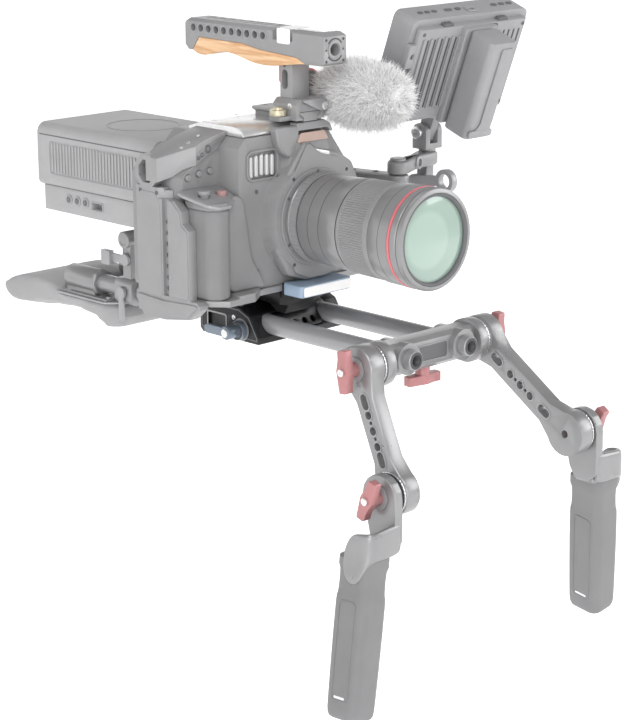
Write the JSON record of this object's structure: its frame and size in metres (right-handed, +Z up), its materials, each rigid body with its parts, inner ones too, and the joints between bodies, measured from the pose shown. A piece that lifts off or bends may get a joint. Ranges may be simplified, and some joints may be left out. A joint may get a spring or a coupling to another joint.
{
  "type": "cinema camera rig",
  "caption": "Shoulder-mounted cinema camera rig with lens, cage, top handle, furry microphone cover, monitor, rods, battery, shoulder pad and two hand grips on swinging arms.",
  "frame": {"origin": "mouth of the 3/8-16 tripod socket under the middle of the baseplate", "axes": "+Z up, the lens looks along -Y, -X is the operator's right-hand side"},
  "size_m": [0.3382, 0.5722, 0.4883],
  "materials": {
    "rods": "satin",
    "base_black": "satin anodised",
    "lever_blue_grey": "satin anodised",
    "plate_pale_blue": "satin anodised",
    "camera_grey": "fine grain",
    "screen": "gloss",
    "sensor": "gloss",
    "mount_metal": "satin",
    "lens_grey": "satin anodised",
    "ring_dark": "ribbed",
    "button_red": "satin",
    "button_grey": "satin",
    "glass": "coated",
    "cage_grey": "satin anodised",
    "cover_bright": "satin",
    "brass": "knurled",
    "lever_steel": "satin",
    "wood": "oiled",
    "holder_grey": "matt",
    "fur": "long pile",
    "monitor_grey": "matt",
    "arm_grey": "satin anodised",
    "knob_red": "satin anodised",
    "grip_grey": "matt",
    "clamp_grey": "satin anodised",
    "battery_grey": "fine grain",
    "pad_soft": "foam-filled"
  },
  "bodies": {
    "base": {"rods": "rods", "baseplate": "base_black", "clamp_jaw": "base_black"},
    "rod_lock_lever": {"rod_lock_lever": "lever_blue_grey"},
    "camera": {"release_plate": "plate_pale_blue", "camera_body": "camera_grey", "camera_grip": "camera_grey", "rear_display": "screen", "image_sensor": "sensor", "lens_mount": "mount_metal", "lens_barrel": "lens_grey", "lens_glass": "glass", "cage_floor": "cage_grey", "cage_right": "cage_grey", "cage_left": "cage_grey", "top_cover": "cover_bright", "nato_rail": "cage_grey", "mic_post": "cage_grey", "arm_base": "cage_grey"},
    "record_button": {"record_button": "button_red"},
    "function_button_1": {"function_button_1": "button_grey"},
    "function_button_2": {"function_button_2": "button_grey"},
    "function_button_3": {"function_button_3": "button_grey"},
    "power_dial": {"power_dial": "button_grey"},
    "focus_ring": {"focus_ring": "ring_dark"},
    "control_ring": {"control_ring": "ring_dark"},
    "handle": {"handle_clamp": "cage_grey", "handle_body": "cage_grey", "handle_wood": "wood"},
    "rail_pin": {"rail_pin": "brass"},
    "handle_lever": {"handle_lever": "lever_steel"},
    "mic": {"mic_holder": "holder_grey", "mic_body": "holder_grey"},
    "windscreen": {"windscreen": "fur"},
    "arm_link": {"arm_link": "cage_grey"},
    "ring_lever": {"ring_lever": "lever_steel"},
    "swivel_post": {"swivel_post": "cage_grey"},
    "monitor": {"monitor_body": "monitor_grey", "monitor_screen": "screen", "monitor_battery": "monitor_grey"},
    "crossbar": {"crossbar": "arm_grey"},
    "bar_knob": {"bar_knob": "knob_red"},
    "right_arm": {"right_arm": "arm_grey"},
    "left_arm": {"left_arm": "arm_grey"},
    "right_handgrip": {"right_bracket": "arm_grey", "right_grip": "grip_grey"},
    "left_handgrip": {"left_bracket": "arm_grey", "left_grip": "grip_grey"},
    "right_arm_knob": {"right_arm_knob": "knob_red"},
    "left_arm_knob": {"left_arm_knob": "knob_red"},
    "right_grip_knob": {"right_grip_knob": "knob_red"},
    "left_grip_knob": {"left_grip_knob": "knob_red"},
    "rear_clamp": {"rear_clamp": "clamp_grey"},
    "flag_lever": {"flag_lever": "lever_steel"},
    "pad_lever": {"pad_lever": "lever_steel"},
    "battery_plate": {"battery_plate": "battery_grey"},
    "battery": {"battery": "battery_grey"},
    "shoulder_pad": {"shoulder_pad": "pad_soft", "pad_plate": "clamp_grey"}
  },
  "joints": [
    {"name": "rod_lock_turn", "type": "hinge", "parent": "base", "child": "rod_lock_lever", "pos_m": [-0.047, -0.012, 0.009], "axis": [-1, 0, 0], "range_deg": [-25, 80]},
    {"name": "camera_slide", "type": "slide", "parent": "base", "child": "camera", "axis": [0, 1, 0], "range_m": [-0.012, 0.006]},
    {"name": "record_press", "type": "slide", "parent": "camera", "child": "record_button", "axis": [0, 0, -1], "range_m": [0, 0.0015], "stiffness_N_per_m": 400, "springref_m": -0.0008},
    {"name": "function_press_1", "type": "slide", "parent": "camera", "child": "function_button_1", "axis": [0, 1, 0], "range_m": [0, 0.001], "stiffness_N_per_m": 500, "springref_m": -0.0008},
    {"name": "function_press_2", "type": "slide", "parent": "camera", "child": "function_button_2", "axis": [0, 1, 0], "range_m": [0, 0.001], "stiffness_N_per_m": 500, "springref_m": -0.0008},
    {"name": "function_press_3", "type": "slide", "parent": "camera", "child": "function_button_3", "axis": [0, 1, 0], "range_m": [0, 0.001], "stiffness_N_per_m": 500, "springref_m": -0.0008},
    {"name": "power_turn", "type": "hinge", "parent": "camera", "child": "power_dial", "pos_m": [-0.096, -0.027, 0.125], "axis": [0, 0, 1], "range_deg": [0, 60]},
    {"name": "focus_turn", "type": "hinge", "parent": "camera", "child": "focus_ring", "pos_m": [0, -0.12, 0.098], "axis": [0, -1, 0], "range_deg": [-90, 90]},
    {"name": "control_turn", "type": "hinge", "parent": "camera", "child": "control_ring", "pos_m": [0, -0.06, 0.098], "axis": [0, -1, 0], "continuous": true},
    {"name": "handle_slide", "type": "slide", "parent": "camera", "child": "handle", "axis": [0, 1, 0], "range_m": [0, 0.018]},
    {"name": "pin_lift", "type": "slide", "parent": "handle", "child": "rail_pin", "axis": [0, 0, 1], "range_m": [0, 0.003], "stiffness_N_per_m": 600, "springref_m": -0.002},
    {"name": "handle_lever_turn", "type": "hinge", "parent": "handle", "child": "handle_lever", "pos_m": [0.012, -0.043, 0.183], "axis": [0, 1, 0], "range_deg": [0, 32]},
    {"name": "mic_tilt", "type": "hinge", "parent": "camera", "child": "mic", "pos_m": [0.025, 0.004, 0.19], "axis": [1, 0, 0], "range_deg": [-8, 8]},
    {"name": "windscreen_slide", "type": "slide", "parent": "mic", "child": "windscreen", "axis": [0, -1, 0], "range_m": [0, 0.05]},
    {"name": "arm_turn", "type": "hinge", "parent": "camera", "child": "arm_link", "pos_m": [0.088, -0.052, 0.12], "axis": [0, 0, 1], "range_deg": [-10, 20]},
    {"name": "ring_lever_turn", "type": "hinge", "parent": "arm_link", "child": "ring_lever", "pos_m": [0.13, -0.036, 0.107], "axis": [1, 0, 0], "range_deg": [0, 60]},
    {"name": "monitor_swivel", "type": "hinge", "parent": "arm_link", "child": "swivel_post", "pos_m": [0.137, -0.038, 0.131], "axis": [0, 0, 1], "range_deg": [-5, 35]},
    {"name": "monitor_tilt", "type": "hinge", "parent": "swivel_post", "child": "monitor", "pos_m": [0.137, -0.038, 0.148], "axis": [1, 0, 0], "range_deg": [-20, 25]},
    {"name": "bar_slide", "type": "slide", "parent": "base", "child": "crossbar", "axis": [0, 1, 0], "range_m": [-0.007, 0.06]},
    {"name": "bar_knob_turn", "type": "hinge", "parent": "crossbar", "child": "bar_knob", "pos_m": [0, -0.163, 0], "axis": [0, 0, -1], "range_deg": [-180, 180]},
    {"name": "right_arm_swing", "type": "hinge", "parent": "crossbar", "child": "right_arm", "pos_m": [-0.0574, -0.164, 0.011], "axis": [1, 0, 0], "range_deg": [-60, 45]},
    {"name": "right_grip_swing", "type": "hinge", "parent": "right_arm", "child": "right_handgrip", "pos_m": [-0.0752, -0.20073, -0.07553], "axis": [1, 0, 0], "range_deg": [-60, 60]},
    {"name": "right_arm_knob_turn", "type": "hinge", "parent": "right_arm", "child": "right_arm_knob", "pos_m": [-0.0732, -0.164, 0.011], "axis": [-1, 0, 0], "range_deg": [-180, 180]},
    {"name": "right_grip_knob_turn", "type": "hinge", "parent": "right_handgrip", "child": "right_grip_knob", "pos_m": [-0.086, -0.20073, -0.07553], "axis": [-1, 0, 0], "range_deg": [-180, 180]},
    {"name": "left_arm_swing", "type": "hinge", "parent": "crossbar", "child": "left_arm", "pos_m": [0.0574, -0.164, 0.011], "axis": [1, 0, 0], "range_deg": [-45, 75]},
    {"name": "left_grip_swing", "type": "hinge", "parent": "left_arm", "child": "left_handgrip", "pos_m": [0.0752, -0.25323, -0.04806], "axis": [1, 0, 0], "range_deg": [-60, 60]},
    {"name": "left_arm_knob_turn", "type": "hinge", "parent": "left_arm", "child": "left_arm_knob", "pos_m": [0.0732, -0.164, 0.011], "axis": [1, 0, 0], "range_deg": [-180, 180]},
    {"name": "left_grip_knob_turn", "type": "hinge", "parent": "left_handgrip", "child": "left_grip_knob", "pos_m": [0.086, -0.25323, -0.04806], "axis": [1, 0, 0], "range_deg": [-180, 180]},
    {"name": "rear_clamp_slide", "type": "slide", "parent": "base", "child": "rear_clamp", "axis": [0, 1, 0], "range_m": [-0.004, 0.001]},
    {"name": "flag_turn", "type": "hinge", "parent": "rear_clamp", "child": "flag_lever", "pos_m": [-0.0374, 0.139, 0.04], "axis": [1, 0, 0], "range_deg": [-30, 30]},
    {"name": "pad_lever_turn", "type": "hinge", "parent": "rear_clamp", "child": "pad_lever", "pos_m": [-0.0424, 0.139, 0.013], "axis": [1, 0, 0], "range_deg": [-60, 0]},
    {"name": "battery_plate_tilt", "type": "hinge", "parent": "rear_clamp", "child": "battery_plate", "pos_m": [0, 0.139, 0.057], "axis": [1, 0, 0], "range_deg": [-8, 10]},
    {"name": "battery_slide", "type": "slide", "parent": "battery_plate", "child": "battery", "axis": [0, 1, 0], "range_m": [0, 0.03]},
    {"name": "pad_slide", "type": "slide", "parent": "base", "child": "shoulder_pad", "axis": [0, 1, 0], "range_m": [-0.001, 0.01]}
  ]
}
